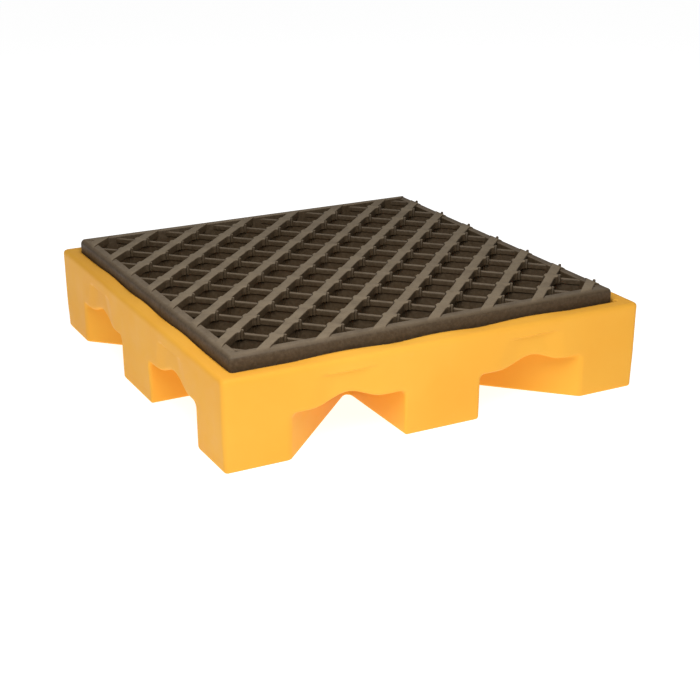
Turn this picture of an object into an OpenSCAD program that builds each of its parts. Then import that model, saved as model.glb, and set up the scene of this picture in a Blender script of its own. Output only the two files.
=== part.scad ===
// Spill containment pallet for one drum: a moulded sump tray and a lift-out grating.
// Origin: middle of the footprint, on the floor. +Z is up. Millimetres.

/* [Tray] */
// Length of each side of the square tray
body_w = 660; // [640:5:700]
// Height of the tray's rim above the floor
rim_h = 131; // [126:1:140]
// Width of the flat rim that shows around the grating
rim_w = 23; // [20:1:30]
// Thickness of the moulded walls and floors
skin = 7; // [5:0.5:8]
// Radius of the tray's upright corners
corner_r = 8; // [8:1:24]
// Radius of the corners inside the rim
well_r = 7; // [4:1:12]

/* [Legs] */
// Width of each corner leg, along a side
corner_leg = 95; // [80:1:105]
// Width of each middle leg, along a side
mid_leg = 120; // [100:2:140]
// Height of the pocket ceilings between the legs
pocket_h = 66; // [55:1:72]

/* [Arches and recesses] */
// Width of the arch over each pocket, at its foot
arch_w = 102; // [80:2:120]
// Height of the arch above the pocket ceiling
arch_rise = 14; // [8:1:18]
// Depth of the arched tunnel behind the side wall
arch_l = 110; // [60:5:130]
// Depth of the shallow recess in the wall above each arch
recess_d = 3; // [1:0.5:4]
// Width of that recess along its top crease
recess_w = 68; // [50:2:80]
// Height of the top crease above the floor
recess_top = 111; // [104:1:116]

/* [Grating] */
// Height of the load surface above the floor
deck_h = 152; // [148:1:160]
// Height of the ledge that the grating rests on
seat_h = 114; // [108:1:120]
// Width of that ledge
seat_w = 14; // [8:1:20]
// Gap between the grating and the rim, each side
grate_gap = 3; // [1:0.5:4]
// Number of cells along each side of the grating
cells = 7; // [5:1:9]
// Pitch of the cells along each side
pitch = 86; // [80:0.5:87]
// Width of the main ribs
rib_w = 15; // [12:1:20]
// Width of the thin cross ribs
cross_w = 8; // [5:1:12]
// Width of the border band
border_w = 13; // [10:1:18]
// Radius of the grating's upright corners
grate_r = 8; // [7:1:14]
// How far the cross ribs and the border lie below the main ribs
rib_proud = 4; // [1:0.5:5]
// Thickness of the main ribs' tops
rib_top = 7; // [5:0.5:10]
// Thickness of the main ribs' side webs
rib_web = 4; // [3:0.5:6]

/* [Hidden] */
$fn = 48;
eps = 1;                              // overrun of every cutting shape
tray_yellow = "#F7C531";
grate_black = "#4A4038";
half_w = body_w / 2;
well_w = body_w - 2 * rim_w;          // opening that the grating drops into
grate_w = well_w - 2 * grate_gap;
ledge_w = well_w - 2 * seat_w;        // opening inside the ledge
pocket_end = half_w - mid_leg / 2;    // pocket's square side, from the tray's corner
arch_x = (corner_leg + pocket_end) / 2;
arch_steps = 20;
rib_pitch = pitch / sqrt(2);          // the ribs lie at 45 degrees to the sides
grate_d = deck_h - seat_h;
lattice_l = grate_w * sqrt(2);

// A square with its middle at the origin and rounded corners.
module rounded_square(w, r) {
    square([w - 2 * r, w], center = true);
    square([w, w - 2 * r], center = true);
    for (x = [-1, 1], y = [-1, 1])
        translate([x * (w / 2 - r), y * (w / 2 - r)]) circle(r);
}

// Repeats a shape for the eight pockets. The shape is drawn from a tray corner along one side.
module eight_times() {
    for (side = [0 : 3], flip = [0, 1])
        rotate(90 * side) mirror([flip, 0, 0]) translate([-half_w, -half_w, 0]) children();
}

// Plan of one pocket: a 45 degree wall beside the corner leg and a square wall beside the
// middle leg, both moved outwards by grow.
module pocket_plan(grow = 0) {
    lean = corner_leg - grow * sqrt(2);
    far = pocket_end + grow;
    polygon([[lean - eps, -eps], [far, -eps], [far, far - lean]]);
}

// Height of the arch over the pocket ceiling, at a place along the side.
function arch_z(t) = arch_rise * (1 + cos(180 * t)) / 2;

// Arch and everything below it as a solid that runs inwards from the side wall.
module arch_block(grow, length) {
    reach = arch_w / 2 + grow;
    top = pocket_h + grow;
    curve = [for (i = [0 : arch_steps]) let (t = 2 * i / arch_steps - 1) [t * reach, top + arch_z(t)]];
    translate([arch_x, length, 0]) rotate([90, 0, 0]) linear_extrude(length + eps)
        polygon(concat([[-reach, -eps]], curve, [[reach, -eps]]));
}

// Hollow of one pocket with its arch, moved outwards by grow.
module pocket(grow = 0) {
    translate([0, 0, -eps]) linear_extrude(pocket_h + grow + eps) pocket_plan(grow);
    intersection() {
        arch_block(grow, arch_l + grow);
        translate([0, 0, -eps]) linear_extrude(rim_h) pocket_plan(grow);
    }
}

// Shallow recess that widens from the top crease down to the arch.
module wall_recess() {
    translate([arch_x, recess_d, 0]) rotate([90, 0, 0]) linear_extrude(recess_d + eps)
        polygon([[-arch_w / 2, pocket_h - eps], [arch_w / 2, pocket_h - eps],
                 [recess_w / 2, recess_top], [-recess_w / 2, recess_top]]);
}

// Inside of the tray: the well for the grating, the opening inside its ledge and the sump below.
module sump_hollow() {
    translate([0, 0, seat_h]) linear_extrude(rim_h) rounded_square(well_w, well_r);
    translate([0, 0, seat_h - skin - eps]) linear_extrude(rim_h) rounded_square(ledge_w, well_r);
    difference() {
        translate([0, 0, skin]) linear_extrude(seat_h - 2 * skin)
            rounded_square(body_w - 2 * skin, corner_r - skin / 2);
        eight_times() pocket(skin);
    }
}

module sump_tray() {
    color(tray_yellow) difference() {
        linear_extrude(rim_h) rounded_square(body_w, corner_r);
        eight_times() pocket();
        eight_times() wall_recess();
        sump_hollow();
    }
}

// Parallel bars at 45 degrees across the grating, with a gap between cells on each diagonal.
module diagonal_bars(width, turn) {
    rotate(turn) for (i = [-cells : cells - 1])
        translate([0, (i + 0.5) * rib_pitch]) square([lattice_l, width], center = true);
}

// Plan of the grating, moved inwards by inset.
module grate_outline(inset = 0) {
    rounded_square(grate_w - 2 * inset, max(grate_r - inset, 1));
}

module lift_out_grating() {
    color(grate_black) translate([0, 0, seat_h]) difference() {
        union() {
            linear_extrude(grate_d - rib_proud) {
                difference() {
                    grate_outline();
                    grate_outline(border_w);
                }
                intersection() {
                    grate_outline(border_w / 2);
                    diagonal_bars(cross_w, -45);
                }
            }
            linear_extrude(grate_d) intersection() {
                grate_outline();
                diagonal_bars(rib_w, 45);
            }
        }
        translate([0, 0, -eps]) linear_extrude(grate_d - rib_top + eps) intersection() {
            grate_outline(border_w);
            diagonal_bars(rib_w - 2 * rib_web, 45);
        }
    }
}

sump_tray();
lift_out_grating();
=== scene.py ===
"""Spill containment pallet: a soft-edged moulded sump tray and its lift-out grating.

Every length is in metres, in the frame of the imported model: the origin is the middle of the
footprint on the floor, +Z is up, and the tray's sides run along X and Y.
"""
import logging
import math
from collections.abc import Callable, Iterator
from dataclasses import dataclass, field
from enum import Enum

import bpy
import numpy as np
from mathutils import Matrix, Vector


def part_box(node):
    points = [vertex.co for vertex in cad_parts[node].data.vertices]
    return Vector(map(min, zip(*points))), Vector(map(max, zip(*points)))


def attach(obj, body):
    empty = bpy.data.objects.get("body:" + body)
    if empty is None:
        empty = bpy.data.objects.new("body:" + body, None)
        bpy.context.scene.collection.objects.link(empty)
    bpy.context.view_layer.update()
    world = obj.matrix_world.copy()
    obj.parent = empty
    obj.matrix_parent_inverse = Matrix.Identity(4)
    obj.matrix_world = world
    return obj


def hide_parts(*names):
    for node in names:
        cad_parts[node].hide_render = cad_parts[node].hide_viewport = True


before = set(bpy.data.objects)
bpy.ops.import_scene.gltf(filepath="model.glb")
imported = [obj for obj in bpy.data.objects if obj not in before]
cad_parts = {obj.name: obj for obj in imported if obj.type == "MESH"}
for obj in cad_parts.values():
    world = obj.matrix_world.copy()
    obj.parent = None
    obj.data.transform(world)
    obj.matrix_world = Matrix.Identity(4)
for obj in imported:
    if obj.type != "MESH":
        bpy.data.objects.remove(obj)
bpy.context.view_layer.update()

log = logging.getLogger("spill_pallet")

Points = np.ndarray
Distances = np.ndarray
MM = 0.001
ROOT2 = math.sqrt(2)


# ---------------------------------------------------------------------------------------------
# Rounded solids described by their signed distance
# ---------------------------------------------------------------------------------------------


def round_and(a: Distances, b: Distances, radius: float) -> Distances:
    """Joins two solids where both are full, and rounds the edge where they meet.

    Args:
        a: Signed distance to the first solid, negative inside it.
        b: Signed distance to the second solid.
        radius: Radius of the rounded edge.

    Returns:
        The signed distance to the common part.
    """
    over_a = np.maximum(a + radius, 0.0)
    over_b = np.maximum(b + radius, 0.0)
    return np.minimum(-radius, np.maximum(a, b)) + np.hypot(over_a, over_b)


def cut_away(solid: Distances, tool: Distances, radius: float) -> Distances:
    """Takes a tool's shape out of a solid and rounds the edges that this leaves.

    Args:
        solid: Signed distance to the solid.
        tool: Signed distance to the shape that is removed.
        radius: Radius of the rounded edges.

    Returns:
        The signed distance to what is left.
    """
    return round_and(solid, -tool, radius)


def rounded_square(x: Distances, y: Distances, half: float, radius: float) -> Distances:
    """Signed distance in plan to a square about the origin with rounded corners.

    Args:
        x: Places along X.
        y: Places along Y.
        half: Half of the square's side.
        radius: Radius of its corners.

    Returns:
        The signed distance of each place.
    """
    over_x = np.abs(x) - (half - radius)
    over_y = np.abs(y) - (half - radius)
    outside = np.hypot(np.maximum(over_x, 0.0), np.maximum(over_y, 0.0))
    return outside + np.minimum(np.maximum(over_x, over_y), 0.0) - radius


def fade(value: Distances, start: float, end: float) -> Distances:
    """Smooth step from 0 at start to 1 at end."""
    t = np.clip((value - start) / (end - start), 0.0, 1.0)
    return t * t * (3.0 - 2.0 * t)


def bell(value: Distances) -> Distances:
    """Smooth hump of height 1 at 0 that reaches 0 at plus and minus 1."""
    return 0.5 * (1.0 + np.cos(math.pi * np.clip(value, -1.0, 1.0)))


@dataclass(frozen=True)
class SurfaceNet:
    """Turns a signed distance into a mesh of quads that lies on its surface.

    Attributes:
        distance: Gives the signed distance of each point.
        low: Lowest corner of the space that holds the solid.
        high: Highest corner of that space.
        step: Size of the cells that the surface is found in.
        settle_rounds: How often the points are moved onto the surface.
        probe: Distance between the two places that a slope is measured from.
    """

    distance: Callable[[Points], Distances]
    low: Vector
    high: Vector
    step: float
    settle_rounds: int = 4
    probe: float = 0.0002

    def slope(self, points: Points) -> Points:
        """Measures how the distance changes along each axis.

        Args:
            points: Places, one in each row.

        Returns:
            The gradient at each place.
        """
        result = np.empty_like(points)
        for axis in range(3):
            offset = np.zeros(3)
            offset[axis] = self.probe
            ahead = self.distance(points + offset)
            behind = self.distance(points - offset)
            result[:, axis] = (ahead - behind) / (2 * self.probe)
        return result

    def settle(self, points: Points) -> Points:
        """Moves points along the slope until they lie on the surface.

        Args:
            points: Places close to the surface.

        Returns:
            The moved places.
        """
        for _ in range(self.settle_rounds):
            slope = self.slope(points)
            steep = np.maximum((slope * slope).sum(1), 0.25)
            move = np.clip(self.distance(points) / steep, -self.step, self.step)
            points = points - slope * move[:, None]
        return points

    def normals(self, points: Points) -> Points:
        """Outward direction of the surface at each point."""
        slope = self.slope(points)
        return slope / np.maximum(np.linalg.norm(slope, axis=1, keepdims=True), 1e-9)

    def build(self) -> tuple[Points, np.ndarray]:
        """Finds the surface.

        Returns:
            The vertices and the quads, as rows of four vertex numbers.
        """
        pad = 1.5 * self.step
        axes = [np.arange(lo - pad, hi + pad + self.step, self.step)
                for lo, hi in zip(self.low, self.high)]
        grid = np.stack(np.meshgrid(*axes, indexing="ij"), -1)
        shape = grid.shape[:3]
        value = self.distance(grid.reshape(-1, 3)).reshape(shape)
        solid = value < 0
        corners = [(i, j, k) for i in (0, 1) for j in (0, 1) for k in (0, 1)]
        full = sum(solid[i:shape[0] - 1 + i, j:shape[1] - 1 + j, k:shape[2] - 1 + k].astype(int)
                   for i, j, k in corners)
        cells = np.argwhere((full > 0) & (full < 8))
        number = np.full(np.array(shape) - 1, -1)
        number[tuple(cells.T)] = np.arange(len(cells))

        total = np.zeros((len(cells), 3))
        count = np.zeros(len(cells))
        for a in corners:
            for axis in range(3):
                if a[axis]:
                    continue
                b = tuple(v + (n == axis) for n, v in enumerate(a))
                value_a = value[tuple((cells + a).T)]
                value_b = value[tuple((cells + b).T)]
                crossed = (value_a < 0) != (value_b < 0)
                share = np.where(crossed, value_a / np.where(crossed, value_a - value_b, 1.0), 0.0)
                place = cells + np.array(a) + share[:, None] * (np.array(b) - np.array(a))
                total += np.where(crossed[:, None], place, 0.0)
                count += crossed
        origin = np.array([axis[0] for axis in axes])
        vertices = origin + self.step * total / count[:, None]

        quads = []
        for axis in range(3):
            u, v = (axis + 1) % 3, (axis + 2) % 3
            near = [slice(1, -1)] * 3
            near[axis] = slice(0, -1)
            far = list(near)
            far[axis] = slice(1, None)
            change = solid[tuple(near)] != solid[tuple(far)]
            edges = np.argwhere(change) + np.array([0 if n == axis else 1 for n in range(3)])
            step_u = np.eye(3, dtype=int)[u]
            step_v = np.eye(3, dtype=int)[v]
            ring = [number[tuple((edges - step_u * du - step_v * dv).T)]
                    for du, dv in ((1, 1), (0, 1), (0, 0), (1, 0))]
            faces = np.stack(ring, 1)
            outward = solid[tuple(edges.T)]
            quads.append(np.where(outward[:, None], faces, faces[:, ::-1]))
        return self.settle(vertices), np.concatenate(quads)


# ---------------------------------------------------------------------------------------------
# Finishes
# ---------------------------------------------------------------------------------------------


class Slot(Enum):
    """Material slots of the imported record."""

    TRAY = "tray_plastic"
    GRATING = "grating_plastic"


Colour = tuple[float, float, float]


class NodeSheet:
    """Small helper that wires one material's nodes."""

    def __init__(self, name: str) -> None:
        """Starts an empty material with one plastic shader in it."""
        self.material = bpy.data.materials.new(name)
        self.material.use_nodes = True
        self.nodes = self.material.node_tree.nodes
        self.links = self.material.node_tree.links
        self.nodes.clear()
        self.shader = self.nodes.new("ShaderNodeBsdfPrincipled")
        output = self.nodes.new("ShaderNodeOutputMaterial")
        self.links.new(self.shader.outputs["BSDF"], output.inputs["Surface"])
        self.place = self.nodes.new("ShaderNodeTexCoord").outputs["Object"]

    def noise(self, scale: float, detail: float = 3.0, rough: float = 0.5) -> bpy.types.NodeSocket:
        """Adds a noise pattern.

        Args:
            scale: Features per metre.
            detail: Number of finer layers.
            rough: Strength of the finer layers.

        Returns:
            The pattern's value, from 0 to 1.
        """
        node = self.nodes.new("ShaderNodeTexNoise")
        node.inputs["Scale"].default_value = scale
        node.inputs["Detail"].default_value = detail
        node.inputs["Roughness"].default_value = rough
        self.links.new(self.place, node.inputs["Vector"])
        return node.outputs["Fac"]

    def spread(self, value: bpy.types.NodeSocket, low: float, high: float,
               start: float = 0.0, end: float = 1.0) -> bpy.types.NodeSocket:
        """Stretches a value to another range and holds it at both ends.

        Args:
            value: The value to stretch.
            low: Value that becomes start.
            high: Value that becomes end.
            start: Result at and below low.
            end: Result at and above high.

        Returns:
            The stretched value.
        """
        node = self.nodes.new("ShaderNodeMapRange")
        node.inputs["From Min"].default_value = low
        node.inputs["From Max"].default_value = high
        node.inputs["To Min"].default_value = start
        node.inputs["To Max"].default_value = end
        self.links.new(value, node.inputs["Value"])
        return node.outputs["Result"]

    def blend(self, amount: bpy.types.NodeSocket, first: Colour | bpy.types.NodeSocket,
              second: Colour | bpy.types.NodeSocket) -> bpy.types.NodeSocket:
        """Mixes two colours, each given as numbers or as another node's output.

        Args:
            amount: Share of the second colour.
            first: Colour at 0.
            second: Colour at 1.

        Returns:
            The mixed colour.
        """
        node = self.nodes.new("ShaderNodeMix")
        node.data_type = "RGBA"
        self.links.new(amount, node.inputs["Factor"])
        ends = [s for s in node.inputs if s.type == "RGBA"]
        for socket, colour in zip(ends, (first, second)):
            if isinstance(colour, tuple):
                socket.default_value = (*colour, 1.0)
            else:
                self.links.new(colour, socket)
        return next(s for s in node.outputs if s.type == "RGBA")

    def arithmetic(self, operation: str, first: bpy.types.NodeSocket,
                   second: float | bpy.types.NodeSocket) -> bpy.types.NodeSocket:
        """Adds one arithmetic node.

        Args:
            operation: Blender's name of the operation.
            first: Its first value.
            second: Its second value, as a number or as another node's output.

        Returns:
            The result.
        """
        node = self.nodes.new("ShaderNodeMath")
        node.operation = operation
        self.links.new(first, node.inputs[0])
        if isinstance(second, (int, float)):
            node.inputs[1].default_value = second
        else:
            self.links.new(second, node.inputs[1])
        return node.outputs[0]

    def facing_up(self) -> bpy.types.NodeSocket:
        """How far the surface faces up, from -1 to 1."""
        split = self.nodes.new("ShaderNodeSeparateXYZ")
        geometry = self.nodes.new("ShaderNodeNewGeometry")
        self.links.new(geometry.outputs["Normal"], split.inputs[0])
        return split.outputs["Z"]

    def height(self) -> bpy.types.NodeSocket:
        """Height of each point above the floor with the piece at rest."""
        split = self.nodes.new("ShaderNodeSeparateXYZ")
        self.links.new(self.place, split.inputs[0])
        return split.outputs["Z"]

    def relief(self, height: bpy.types.NodeSocket, strength: float, depth: float,
               below: bpy.types.NodeSocket | None = None) -> bpy.types.NodeSocket:
        """Adds a bump layer.

        Args:
            height: Pattern that gives its height.
            strength: How much of it is seen, from 0 to 1.
            depth: Height of the bumps, in metres.
            below: Normal of the layer under it.

        Returns:
            The bumped normal.
        """
        node = self.nodes.new("ShaderNodeBump")
        node.inputs["Strength"].default_value = strength
        node.inputs["Distance"].default_value = depth
        self.links.new(height, node.inputs["Height"])
        if below is not None:
            self.links.new(below, node.inputs["Normal"])
        return node.outputs["Normal"]

    def finish(self, colour: bpy.types.NodeSocket, roughness: bpy.types.NodeSocket,
               normal: bpy.types.NodeSocket) -> bpy.types.Material:
        """Connects what varies over the surface.

        Args:
            colour: Base colour.
            roughness: Roughness.
            normal: Normal with the bumps in it.

        Returns:
            The finished material.
        """
        self.links.new(colour, self.shader.inputs["Base Color"])
        self.links.new(roughness, self.shader.inputs["Roughness"])
        self.links.new(normal, self.shader.inputs["Normal"])
        return self.material


@dataclass(frozen=True)
class TrayPlastic:
    """Warm yellow moulded polyethylene: smooth, slightly waxy, with a faint cloudy tone."""

    body: Colour = (0.900, 0.455, 0.056)
    deep: Colour = (0.880, 0.412, 0.045)
    scuff: Colour = (0.905, 0.480, 0.085)
    gloss_low: float = 0.44
    gloss_high: float = 0.60

    def make(self) -> bpy.types.Material:
        """Builds the material."""
        sheet = NodeSheet("tray_yellow")
        clouds = sheet.spread(sheet.noise(5.0, 4.0, 0.55), 0.38, 0.66)
        tone = sheet.blend(clouds, self.body, self.deep)
        marks = sheet.spread(sheet.noise(46.0, 6.0, 0.68), 0.62, 0.78, 0.0, 0.35)
        colour = sheet.blend(marks, tone, self.scuff)
        gloss = sheet.spread(sheet.noise(22.0, 5.0, 0.6), 0.3, 0.7, self.gloss_low, self.gloss_high)
        skin = sheet.relief(sheet.noise(60.0, 3.0, 0.5), 0.25, 0.0006)
        grain = sheet.relief(sheet.noise(900.0, 3.0, 0.6), 0.16, 0.00025, skin)
        sheet.shader.inputs["IOR"].default_value = 1.5
        sheet.shader.inputs["Specular IOR Level"].default_value = 0.09
        return sheet.finish(colour, gloss, grain)


@dataclass(frozen=True)
class GratingPlastic:
    """Brownish black moulded polyethylene, its upward faces and load surface made paler by painted
    sheen with some dust and wear.

    Attributes:
        contact: Height of the load surface above the floor.
        body: Colour of the clean plastic.
        dusty: Colour of the streaks on it.
        ledge: Colour of the faces that look up, paler as painted sheen with some dust.
        sheen_and_wear: Colour of the load surface, paler as painted sheen with some wear.
    """

    contact: float
    body: Colour = (0.064, 0.041, 0.020)
    dusty: Colour = (0.135, 0.096, 0.056)
    ledge: Colour = (0.175, 0.128, 0.080)
    sheen_and_wear: Colour = (0.235, 0.178, 0.112)

    def make(self) -> bpy.types.Material:
        """Builds the material."""
        sheet = NodeSheet("grating_black")
        upward = sheet.spread(sheet.facing_up(), 0.45, 0.95)
        patches = sheet.spread(sheet.noise(38.0, 6.0, 0.7), 0.32, 0.66, 0.42, 1.0)
        near_top = sheet.spread(sheet.height(), self.contact - 3 * MM, self.contact - 0.5 * MM)
        streaks = sheet.spread(sheet.noise(230.0, 5.0, 0.65), 0.40, 0.66, 0.0, 0.42)
        dirt = sheet.blend(streaks, self.body, self.dusty)
        # Painted sheen with some dust: faces that look up are tinted paler in patches.
        upward_sheen_and_dust = sheet.blend(sheet.arithmetic("MULTIPLY", upward, patches), dirt, self.ledge)
        # Painted sheen with some wear: the load surface near the top is tinted paler in patches.
        sheen_and_wear_mask = sheet.arithmetic("MULTIPLY", sheet.arithmetic("MULTIPLY", upward, near_top), patches)
        colour = sheet.blend(sheen_and_wear_mask, upward_sheen_and_dust, self.sheen_and_wear)
        gloss = sheet.spread(sheet.noise(70.0, 5.0, 0.65), 0.3, 0.7, 0.46, 0.64)
        skin = sheet.relief(sheet.noise(150.0, 4.0, 0.6), 0.6, 0.0012)
        grain = sheet.relief(sheet.noise(700.0, 2.0, 0.6), 0.3, 0.0004, skin)
        sheet.shader.inputs["IOR"].default_value = 1.5
        sheet.shader.inputs["Specular IOR Level"].default_value = 0.3
        return sheet.finish(colour, gloss, grain)


@dataclass(frozen=True)
class FloorPaint:
    """Plain white studio table with a soft glow of its own."""

    pale: Colour = (0.55, 0.55, 0.55)
    glow: float = 0.88

    def make(self) -> bpy.types.Material:
        """Builds the material."""
        sheet = NodeSheet("studio_floor")
        colour = sheet.blend(sheet.noise(2.0), self.pale, tuple(0.99 * c for c in self.pale))
        gloss = sheet.spread(sheet.noise(8.0), 0.0, 1.0, 0.85, 0.95)
        sheet.shader.inputs["Emission Color"].default_value = (1.0, 1.0, 1.0, 1.0)
        sheet.shader.inputs["Emission Strength"].default_value = self.glow
        return sheet.finish(colour, gloss, sheet.relief(sheet.noise(30.0), 0.02, 0.0002))


def add_mesh(name: str, vertices: Points, faces: list | np.ndarray, material: bpy.types.Material,
             body: str, normals: Points | None = None) -> bpy.types.Object:
    """Makes one smooth-shaded piece of the object.

    Args:
        name: Name of the piece.
        vertices: Its points, in metres.
        faces: Vertex numbers of each face.
        material: Its finish.
        body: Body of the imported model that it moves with.
        normals: Outward direction at each vertex, where it is known exactly.

    Returns:
        The new object.
    """
    mesh = bpy.data.meshes.new(name)
    mesh.from_pydata(np.asarray(vertices).tolist(), [], [list(map(int, face)) for face in faces])
    mesh.validate()
    mesh.shade_smooth()
    if normals is not None:
        mesh.normals_split_custom_set_from_vertices(normals.tolist())
    mesh.materials.append(material)
    piece = bpy.data.objects.new(name, mesh)
    bpy.context.scene.collection.objects.link(piece)
    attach(piece, body)
    log.info("%s: %d vertices, %d faces", name, len(mesh.vertices), len(mesh.polygons))
    return piece


# ---------------------------------------------------------------------------------------------
# Sump tray
# ---------------------------------------------------------------------------------------------


@dataclass(frozen=True)
class SumpTray:
    """The one-piece tray: rim, walls, legs, pockets, ledge and sump.

    A place on it is folded into one eighth of the square: `along` runs along the nearest side
    from its middle, and `outward` runs from the tray's middle to that side.
    """

    half: float
    rim_height: float
    seat_height: float
    rim_width: float = 23 * MM
    skin: float = 7 * MM
    corner_radius: float = 8 * MM
    corner_leg: float = 95 * MM
    mid_leg_half: float = 60 * MM
    pocket_height: float = 66 * MM
    arch_half: float = 52 * MM
    arch_rise: float = 14 * MM
    arch_length: float = 110 * MM
    arch_slope: float = 0.8
    recess_depth: float = 3.6 * MM
    recess_top: float = 111 * MM
    recess_half: float = 34 * MM
    seat_width: float = 14 * MM
    draft: float = 1.6 * MM
    crown: float = 2.4 * MM
    well_radius: float = 5 * MM
    rim_radius: float = 6.5 * MM
    ripple: float = 0.8 * MM
    pocket_corner: float = 14 * MM
    ceiling_radius: float = 6 * MM
    foot_radius: float = 3 * MM
    pocket_edge: float = 4 * MM
    sump_edge: float = 3 * MM
    floor_radius: float = 9 * MM
    roof_radius: float = 3 * MM
    inner_radius: float = 6 * MM
    seat_radius: float = 2 * MM
    arch_fade: float = 30 * MM
    crease_half: float = 1.2 * MM
    net_step: float = 3.6 * MM

    @property
    def arch_middle(self) -> float:
        """Place of each arch along its side, from the side's middle."""
        return (self.half - self.corner_leg + self.mid_leg_half) / 2

    def recess(self, along: Distances, height: Distances) -> Distances:
        """Depth of the shallow recess in the wall above each arch.

        Args:
            along: Places along the nearest side.
            height: Heights above the floor.

        Returns:
            How far the wall steps in there.
        """
        spread = self.recess_half + 0.35 * np.maximum(self.recess_top - height, 0.0)
        aside = np.abs(along - self.arch_middle)
        sideways = 1.0 - fade(aside, spread - 22 * MM, spread + 16 * MM)
        crease = 1.0 - fade(height, self.recess_top - self.crease_half,
                            self.recess_top + self.crease_half)
        return self.recess_depth * sideways * crease

    def outline(self, x: Distances, y: Distances, z: Distances, along: Distances) -> Distances:
        """Signed distance in plan to the tray's outer wall, at each height.

        Args:
            x: Places along X.
            y: Places along Y.
            z: Heights above the floor.
            along: The same places along the nearest side.

        Returns:
            The distance, with the wall's lean, waves and recesses in it.
        """
        square = rounded_square(x, y, self.half, self.corner_radius)
        lean = self.draft * (1.0 - z / self.rim_height)
        ripple = self.ripple * np.sin(38.0 * x + 9.0 * z + 0.7) * np.sin(29.0 * y - 17.0 * z + 1.9)
        inset = self.ripple * (1.0 - z / self.rim_height) + ripple * bell(z / self.rim_height * 2 - 1)
        return square + lean + np.maximum(inset, 0.0) + self.recess(along, z)

    def ceiling(self, along: Distances, outward: Distances) -> Distances:
        """Height of the pocket's ceiling, with its arch.

        Args:
            along: Places along the nearest side.
            outward: Distances from the tray's middle towards that side.

        Returns:
            The height above the floor.
        """
        inward = self.half - outward
        reach = 1.0 - fade(inward, self.arch_length - self.arch_fade, self.arch_length)
        arch = bell((along - self.arch_middle) / self.arch_half)
        return self.pocket_height + self.arch_rise * reach * arch

    def pocket(self, along: Distances, outward: Distances, z: Distances) -> Distances:
        """Signed distance to the hollow of the nearest pocket.

        Args:
            along: Places along the nearest side.
            outward: Distances from the tray's middle towards that side.
            z: Heights above the floor.

        Returns:
            The distance, negative in the hollow.
        """
        square_wall = self.mid_leg_half - along
        slanted_wall = (self.corner_leg - (outward - along)) / ROOT2
        plan = round_and(square_wall, slanted_wall, self.pocket_corner)
        above = self.arch_slope * (z - self.ceiling(along, outward))
        return round_and(plan, above, self.ceiling_radius)

    def sump(self, x: Distances, y: Distances, z: Distances, wall: Distances,
             pocket: Distances) -> Distances:
        """Signed distance to the open inside: sump, ledge opening and grating well.

        Args:
            x: Places along X.
            y: Places along Y.
            z: Heights above the floor.
            wall: Signed distance to the outer wall.
            pocket: Signed distance to the nearest pocket's hollow.

        Returns:
            The distance, negative in the open inside.
        """
        well_half = self.half - self.rim_width
        room = round_and(wall + self.skin, self.skin - z, self.floor_radius)
        room = round_and(room, z - (self.seat_height - self.skin), self.roof_radius)
        room = cut_away(room, pocket - self.skin, self.inner_radius)
        mouth = np.maximum(rounded_square(x, y, well_half - self.seat_width, self.well_radius),
                           self.seat_height - self.skin - self.roof_radius - z)
        well = round_and(rounded_square(x, y, well_half, self.well_radius),
                         self.seat_height - z, self.seat_radius)
        return np.minimum(np.minimum(room, mouth), well)

    def distance(self, points: Points) -> Distances:
        """Signed distance to the whole tray.

        Args:
            points: Places, one in each row.

        Returns:
            The distance of each place.
        """
        x, y, z = points.T
        along = np.minimum(np.abs(x), np.abs(y))
        outward = np.maximum(np.abs(x), np.abs(y))
        wall = self.outline(x, y, z, along)
        pocket = self.pocket(along, outward, z)
        rim = z - self.rim_height - self.rim_crown(along, outward)
        block = round_and(wall, rim, self.rim_radius)
        block = round_and(block, -z, self.foot_radius)
        shell = cut_away(block, pocket, self.pocket_edge)
        return cut_away(shell, self.sump(x, y, z, wall, pocket), self.sump_edge)

    def rim_crown(self, along: Distances, outward: Distances) -> Distances:
        """Rise of the rim towards its inner edge, in soft waves between the corners.

        Args:
            along: Places along the nearest side.
            outward: Distances from the tray's middle towards that side.

        Returns:
            The extra height of the rim.
        """
        inward = fade(self.half - outward, 4 * MM, self.rim_width - 4 * MM)
        middle = bell(along / (70 * MM))
        arches = bell((along - self.arch_middle) / (85 * MM))
        return self.crown * inward * np.maximum(middle, arches)

    def build(self, material: bpy.types.Material) -> bpy.types.Object:
        """Builds the tray in place of its plain solid.

        Args:
            material: Its finish.

        Returns:
            The new object.
        """
        corner = Vector((self.half, self.half, 0.0))
        net = SurfaceNet(self.distance, -corner, corner + Vector((0, 0, self.rim_height)),
                         self.net_step)
        vertices, quads = net.build()
        tray = add_mesh("tray", vertices, quads, material, "tray", net.normals(vertices))
        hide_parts("sump_tray")
        return tray


# ---------------------------------------------------------------------------------------------
# Lift-out grating
# ---------------------------------------------------------------------------------------------


@dataclass
class MeshBin:
    """Collects closed shells into one mesh."""

    vertices: list[tuple[float, float, float]] = field(default_factory=list)
    faces: list[list[int]] = field(default_factory=list)

    def sweep(self, rings: Points, loop: bool = False) -> None:
        """Joins rings of points into a closed bar, or into a closed loop.

        Args:
            rings: Points as (ring, point of the ring, xyz).
            loop: Joins the last ring to the first instead of capping both.
        """
        count, size, _ = rings.shape
        start = len(self.vertices)
        self.vertices.extend(map(tuple, rings.reshape(-1, 3).tolist()))
        for ring in range(count if loop else count - 1):
            after = (ring + 1) % count
            for point in range(size):
                beside = (point + 1) % size
                self.faces.append([start + ring * size + point, start + ring * size + beside,
                                   start + after * size + beside, start + after * size + point])
        if not loop:
            self.faces.append([start + point for point in reversed(range(size))])
            self.faces.append([start + (count - 1) * size + point for point in range(size)])


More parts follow.
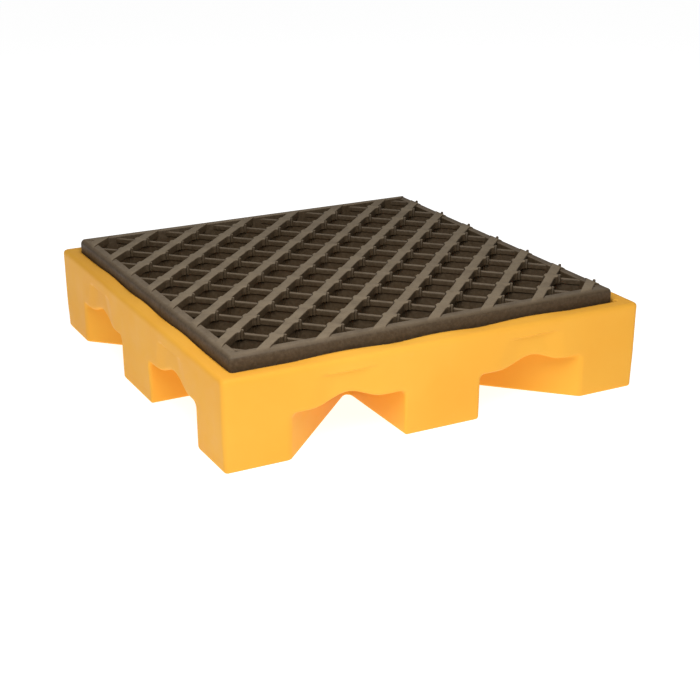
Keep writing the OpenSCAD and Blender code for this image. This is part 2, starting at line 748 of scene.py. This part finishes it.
@dataclass(frozen=True)
class Grating:
    """The lift-out grating: main ribs, cross ribs and border, on a diagonal lattice.

    Inside the lattice `u` runs along the main ribs and `v` across them, both at 45 degrees
    to the sides. Each main rib swells into a fluted lug on one side and a smooth gusset on the
    other before it meets a cross rib.
    """

    half: float
    low: float
    high: float
    cells: int = 7
    side_pitch: float = 86 * MM
    rib_width: float = 15 * MM
    cross_width: float = 6.5 * MM
    border_width: float = 17 * MM
    proud: float = 4 * MM
    rib_top: float = 7 * MM
    rib_web: float = 4 * MM
    edge_radius: float = 1.6 * MM
    brow_radius: float = 7 * MM
    border_drop: tuple[float, ...] = (3.0 * MM, 0.9 * MM, 2.2 * MM, 2.2 * MM)
    front_flare: float = 3 * MM
    back_flare: float = 8 * MM
    corner_radius: float = 5 * MM
    lug_width: float = 8 * MM
    lug_length: float = 11 * MM
    face_depth: float = 11 * MM
    undercut: float = 2 * MM
    gusset_width: float = 3.5 * MM
    gusset_length: float = 9 * MM
    heel: float = 2.5 * MM
    flute_depth: float = 2.2 * MM
    flute_pitch: float = 4.4 * MM
    peg_size: tuple[float, float] = (3.2 * MM, 4.2 * MM)
    peg_chamfer: float = 0.9 * MM
    peg_rise: float = 2.8 * MM
    peg_clearance: float = 20 * MM
    rib_end: float = 2.5 * MM
    end_slope: float = 12 * MM
    lean: float = 2.2 * MM

    @property
    def pitch(self) -> float:
        """Distance between neighbouring ribs, square to them."""
        return self.side_pitch / ROOT2

    def places(self) -> Iterator[float]:
        """Offsets of the ribs from the middle, in one direction."""
        for number in range(-self.cells, self.cells):
            yield (number + 0.5) * self.pitch

    @staticmethod
    def from_lattice(u: Distances, v: Distances, z: Distances) -> Points:
        """Turns lattice places into the frame's X, Y and Z."""
        return np.stack([(u - v) / ROOT2, (u + v) / ROOT2, z], -1)

    def before_cross(self, along: float) -> float:
        """Distance from a place on a main rib to the front face of the next cross rib.

        Args:
            along: Place along the rib, from its middle.

        Returns:
            The distance; within the cross rib and its heel behind it the result is negative.
        """
        front = self.pitch / 2 - self.cross_width / 2
        gap = (front - along) % self.pitch
        behind = self.pitch - self.cross_width - self.heel
        return gap - self.pitch if gap > behind else gap

    def swelling(self, along: float, width: float, length: float) -> float:
        """How far one side of a main rib stands out at a place along it.

        Args:
            along: Place along the rib, from its middle.
            width: Swelling at the cross rib's front face.
            length: Distance over which it grows.

        Returns:
            The extra width on that side.
        """
        gap = self.before_cross(along)
        if gap >= 0:
            return width * max(1.0 - gap / length, 0.0) ** 1.3
        past = -gap / self.cross_width
        if past <= 1.0:
            return width + (self.heel - width) * past
        left = 1.0 - (past - 1.0) * self.cross_width / self.heel
        return self.heel * (1.0 - math.sqrt(max(1.0 - left ** 2, 0.0)))

    def flutes(self, along: float) -> float:
        """Depth of the upright flutes in the lug's face at a place along a main rib."""
        gap = self.before_cross(along)
        if not 0 < gap < 3 * self.flute_pitch:
            return 0.0
        return self.flute_depth * 0.5 * (1.0 - math.cos(2 * math.pi * gap / self.flute_pitch))

    def rib_outline(self, along: float, top: float) -> Points:
        """Outline of a main rib at one place along it.

        Args:
            along: Place along the rib, from its middle.
            top: Height of its top there.

        Returns:
            Rows of (across, height), clockwise from the foot on the lug's side.
        """
        half_width = self.rib_width / 2
        lug = self.swelling(along, self.lug_width, self.lug_length)
        gusset = self.swelling(along, self.gusset_width, self.gusset_length)
        lug_face = half_width + max(lug - self.flutes(along), 0.0)
        radius = self.edge_radius
        bends = [math.pi / 2 * i / 3 for i in range(4)]
        chin = self.high - self.face_depth
        waist = half_width - self.undercut
        left = [(-half_width, self.low), (-waist, chin - self.undercut), (-lug_face, chin)]
        left += [(-lug_face + radius * (1 - math.cos(bend)), top - radius * (1 - math.sin(bend)))
                 for bend in bends]
        face = half_width + gusset
        right = [(face - radius * (1 - math.cos(bend)), top - radius * (1 - math.sin(bend)))
                 for bend in reversed(bends)]
        right += [(face, chin), (waist, chin - self.undercut), (half_width, self.low)]
        inner = waist - self.rib_web / 2
        roof = self.high - self.rib_top - self.proud
        hollow = [(inner, self.low), (inner, roof), (-inner, roof), (-inner, self.low)]
        return np.array(left + right + hollow)

    def end_rings(self, offset: float, end: int) -> list[Points]:
        """Rings that cut a main rib square to the sides and lower it into the border.

        Args:
            offset: Place of the rib, across the lattice.
            end: -1 for the near end and 1 for the far end.

        Returns:
            The rings, from the border inwards.
        """
        rings = []
        for share in (0.0, 0.15, 0.35, 0.65, 1.0):
            depth = self.rib_end + (self.end_slope - self.rib_end) * share
            top = self.high - (max(self.border_drop) + 1.2 * MM) * (1.0 - share) ** 2
            reach = ROOT2 * (self.half - depth)
            outline = self.rib_outline(end * (reach - abs(offset)), top)
            across = offset + outline[:, 0]
            rings.append(self.from_lattice(end * (reach - np.abs(across)), across, outline[:, 1]))
        return rings

    def main_ribs(self, bin_: MeshBin) -> None:
        """Adds the flat-topped main ribs, hollow beneath.

        Args:
            bin_: Takes their shells.
        """
        fine = [share * self.flute_pitch / 4 for share in range(13)]
        coarse = [self.lug_length * 1.6]
        heel = [self.cross_width + self.heel * share for share in (0.0, 0.08, 0.22, 0.45, 0.72, 1.0)]
        steps = [-gap for gap in reversed(fine + coarse)] + [self.cross_width / 2] + heel
        for offset in self.places():
            reach = ROOT2 * (self.half - self.end_slope) - abs(offset)
            limit = reach - self.rib_width / 2 - max(self.lug_width, self.gusset_width) - 1 * MM
            rings = self.end_rings(offset, -1)
            for cross in self.places():
                for step in steps:
                    along = cross - self.cross_width / 2 + step
                    if abs(along) < limit:
                        outline = self.rib_outline(along, self.high)
                        rings.append(self.from_lattice(np.full(len(outline), along),
                                                       offset + outline[:, 0], outline[:, 1]))
            rings += reversed(self.end_rings(offset, 1))
            bin_.sweep(np.array(rings))

    def cross_outline(self, front: float, back: float) -> Points:
        """Outline of a cross rib with rounded top edges and an undercut below its front face.

        Args:
            front: How far its front face stands out where it joins a main rib.
            back: How far its back face stands out there.

        Returns:
            Rows of (along, height), from its front foot to its back foot.
        """
        top = self.high - self.proud
        chin = self.high - self.face_depth
        radius = self.edge_radius
        half_width = self.cross_width / 2
        waist = half_width - self.undercut
        bends = [math.pi / 2 * i / 4 for i in range(5)]
        near = [(-half_width - front + radius * (1 - math.cos(bend)),
                 top - radius * (1 - math.sin(bend))) for bend in bends]
        far = [(half_width + back - radius * (1 - math.cos(bend)),
                top - radius * (1 - math.sin(bend))) for bend in reversed(bends)]
        foot = [(-half_width - front, self.low), (-waist - front, chin - self.undercut),
                (-half_width - front, chin)]
        heel = [(half_width + back, self.low)]
        return np.array(foot + near + far + heel)

    def pegs(self, bin_: MeshBin) -> None:
        """Adds the small upright peg at the tip of every lug, a little proud of the ribs.

        The pegs of the +X edge stand on the border, and the other three edges have none there.

        Args:
            bin_: Takes their shells.
        """
        length, width = self.peg_size
        chamfer = self.peg_chamfer
        plan = [(length / 2, width / 2 - chamfer), (length / 2 - chamfer, width / 2),
                (chamfer - length / 2, width / 2), (-length / 2, width / 2 - chamfer),
                (-length / 2, chamfer - width / 2), (chamfer - length / 2, -width / 2),
                (length / 2 - chamfer, -width / 2), (length / 2, chamfer - width / 2)]
        crown = self.high + self.peg_rise
        levels = [(self.high - self.face_depth, 1.0), (crown - chamfer, 1.0), (crown, 0.6)]
        clear = self.half - self.peg_clearance
        last = self.half - self.border_width / 2
        for across in self.places():
            for cross in self.places():
                u = cross - self.cross_width / 2 - length / 2
                v = across - self.rib_width / 2 - self.lug_width + width / 2
                x, y = (u - v) / ROOT2, (u + v) / ROOT2
                if -clear < x < self.half + width and abs(y) < clear:
                    shift = np.array([min(x, last) - x, 0.0, 0.0])
                    rings = [[self.from_lattice(u + size * along, v + size * beside, height) + shift
                              for along, beside in plan] for height, size in levels]
                    bin_.sweep(np.array(rings))

    def join(self, inside: float, reach: float) -> float:
        """Extra width that rounds a cross rib into a main rib, at a distance from it."""
        shortfall = max(reach - inside, 0.0)
        return reach - math.sqrt(reach ** 2 - shortfall ** 2)

    def cross_ribs(self, bin_: MeshBin) -> None:
        """Adds the thin cross ribs between the main ribs, flared where they join them.

        Args:
            bin_: Takes their shells.
        """
        limit = ROOT2 * (self.half - self.border_width / 2)
        gap = self.pitch - self.rib_width
        bite = 1.5 * MM
        marks = (0.0, 0.04, 0.1, 0.2, 0.35, 0.55, 0.78, 1.0)
        near = [-bite] + [self.back_flare * mark for mark in marks]
        stations = near + [gap - place for place in reversed(near)]
        for along in self.places():
            for offset in self.places():
                rings = []
                for place in stations:
                    inside = max(min(place, gap - place), 0.0)
                    outline = self.cross_outline(self.join(inside, self.front_flare),
                                                 self.join(inside, self.back_flare))
                    room = limit - abs(along)
                    across = min(max(offset + self.rib_width / 2 + place, -room), room)
                    rings.append(self.from_lattice(along + outline[:, 0],
                                                   np.full(len(outline), across), outline[:, 1]))
                rings = self.without_repeats(np.array(rings))
                if len(rings) > 3:
                    bin_.sweep(rings)

    @staticmethod
    def without_repeats(rings: Points) -> Points:
        """Drops rings that fall on the one before them, where a bar was cut short.

        Args:
            rings: Rings of points along a bar.

        Returns:
            The rings that differ.
        """
        keep = [0] + [i for i in range(1, len(rings))
                      if np.linalg.norm(rings[i].mean(0) - rings[i - 1].mean(0)) > 1e-6]
        return rings[keep]

    def border(self, bin_: MeshBin) -> None:
        """Adds the border band round the lattice.

        Args:
            bin_: Takes its shell.
        """
        brow = [(self.brow_radius * (1 - math.cos(math.pi / 2 * i / 6)),
                 -self.brow_radius * (1 - math.sin(math.pi / 2 * i / 6))) for i in range(7)]
        lip = [(self.border_width - self.edge_radius * (1 - math.sin(math.pi / 2 * i / 3)),
                -self.edge_radius * (1 - math.cos(math.pi / 2 * i / 3))) for i in range(4)]
        foot = self.low - self.high
        outline = [(0.0, foot)] + brow + lip + [(self.border_width, foot)]
        rings = []
        for side in range(4):
            before, after = self.border_drop[side], self.border_drop[(side + 1) % 4]
            for step in range(7):
                turn = math.pi / 2 * (side + step / 6)
                drop = before + (after - before) * step / 6
                ring = []
                for depth, lift in outline:
                    height = max(self.high - drop + lift, self.low)
                    radius = max(self.corner_radius - depth, 0.8 * MM)
                    centre = self.half - depth - radius
                    hub_x = centre * (1 if side in (0, 3) else -1)
                    hub_y = centre * (1 if side in (0, 1) else -1)
                    ring.append((hub_x + radius * math.cos(turn), hub_y + radius * math.sin(turn),
                                 height))
                rings.append(ring)
        bin_.sweep(np.array(rings)[:, ::-1], loop=True)

    def build(self, material: bpy.types.Material) -> bpy.types.Object:
        """Builds the grating in place of its plain solid.

        Args:
            material: Its finish.

        Returns:
            The new object.
        """
        bin_ = MeshBin()
        self.main_ribs(bin_)
        self.cross_ribs(bin_)
        self.pegs(bin_)
        self.border(bin_)
        vertices = np.array(bin_.vertices) + np.array([-self.lean, self.lean, 0.0])
        grating = add_mesh("grating", vertices, bin_.faces, material, "grating")
        grating.data.set_sharp_from_angle(angle=math.radians(40))
        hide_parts("lift_out_grating")
        return grating


# ---------------------------------------------------------------------------------------------
# Studio
# ---------------------------------------------------------------------------------------------


@dataclass(frozen=True)
class AreaLight:
    """One soft square light, placed by direction from the object.

    Attributes:
        name: Name of the light.
        azimuth: Direction round the object in degrees, from -Y towards +X.
        elevation: Angle above the floor in degrees.
        distance: Distance from the origin.
        size: Length of its sides.
        power: Power in watts.
    """

    name: str
    azimuth: float
    elevation: float
    distance: float
    size: float
    power: float

    def build(self) -> None:
        """Hangs the light and points it at the object."""
        data = bpy.data.lights.new(self.name, "AREA")
        data.shape = "SQUARE"
        data.size = self.size
        data.energy = self.power
        light = bpy.data.objects.new(self.name, data)
        bpy.context.scene.collection.objects.link(light)
        turn, rise = math.radians(self.azimuth), math.radians(self.elevation)
        place = Vector((math.sin(turn) * math.cos(rise), -math.cos(turn) * math.cos(rise),
                        math.sin(rise))) * self.distance
        light.location = place
        light.rotation_euler = (-place).to_track_quat("-Z", "Y").to_euler()


@dataclass(frozen=True)
class Studio:
    """Pale floor, soft light and the camera.

    Attributes:
        side: Length of the tray's side.
        camera_place: Place of the camera, in sides of the tray.
        turn: Direction that the camera looks in, in degrees from +Y towards +X.
        dip: Angle that it looks down by, in degrees.
        lens: Focal length in millimetres.
        sensor: Width of its sensor in millimetres.
        floor_gap: Gap between the feet and the floor.
        lights: The lights.
    """

    side: float
    camera_place: tuple[float, float, float] = (-1.4629, -2.8362, 1.2099)
    turn: float = 27.96
    dip: float = 20.63
    lens: float = 73.38
    sensor: float = 36.0
    floor_gap: float = 0.4 * MM
    lights: tuple[AreaLight, ...] = (
        AreaLight("key", -27.0, 50.0, 1.3, 0.9, 12.2),
        AreaLight("back", 160.0, 55.0, 2.4, 1.8, 8.0),
    )

    def camera(self) -> None:
        """Adds the camera, placed in units of the tray's side."""
        data = bpy.data.cameras.new("camera")
        data.lens = self.lens
        data.sensor_width = self.sensor
        data.clip_start = 0.01
        camera = bpy.data.objects.new("camera", data)
        camera.location = Vector(self.camera_place) * self.side
        camera.rotation_euler = (math.radians(90 - self.dip), 0.0, math.radians(-self.turn))
        bpy.context.scene.collection.objects.link(camera)
        bpy.context.scene.camera = camera

    def floor(self, reach: float = 30.0) -> None:
        """Adds the pale floor just below the feet.

        Args:
            reach: Distance from its middle to each side.
        """
        mesh = bpy.data.meshes.new("floor")
        corners = [(-reach, -reach), (reach, -reach), (reach, reach), (-reach, reach)]
        mesh.from_pydata([(x, y, -self.floor_gap) for x, y in corners], [], [(0, 1, 2, 3)])
        mesh.materials.append(FloorPaint().make())
        floor = bpy.data.objects.new("floor", mesh)
        bpy.context.scene.collection.objects.link(floor)

    def sky(self, strength: float = 0.18) -> None:
        """Adds even white light from all round."""
        world = bpy.data.worlds.new("studio")
        world.use_nodes = True
        background = world.node_tree.nodes["Background"]
        background.inputs["Color"].default_value = (1.0, 1.0, 1.0, 1.0)
        background.inputs["Strength"].default_value = strength
        bpy.context.scene.world = world

    def build(self) -> None:
        """Sets up the whole studio."""
        bpy.context.scene.view_settings.view_transform = "Standard"
        self.camera()
        self.floor()
        self.sky()
        for light in self.lights:
            light.build()


def main() -> None:
    """Builds the pallet and its studio."""
    logging.basicConfig(level=logging.INFO, format="%(name)s: %(message)s")
    tray_low, tray_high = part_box("sump_tray")
    grate_low, grate_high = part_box("lift_out_grating")
    tray = SumpTray(half=tray_high.x, rim_height=tray_high.z, seat_height=grate_low.z)
    tray.build(TrayPlastic().make())
    grating = Grating(half=grate_high.x, low=grate_low.z, high=grate_high.z)
    grating.build(GratingPlastic(contact=grate_high.z).make())
    Studio(side=tray_high.x - tray_low.x).build()


if __name__ == "__main__":
    main()
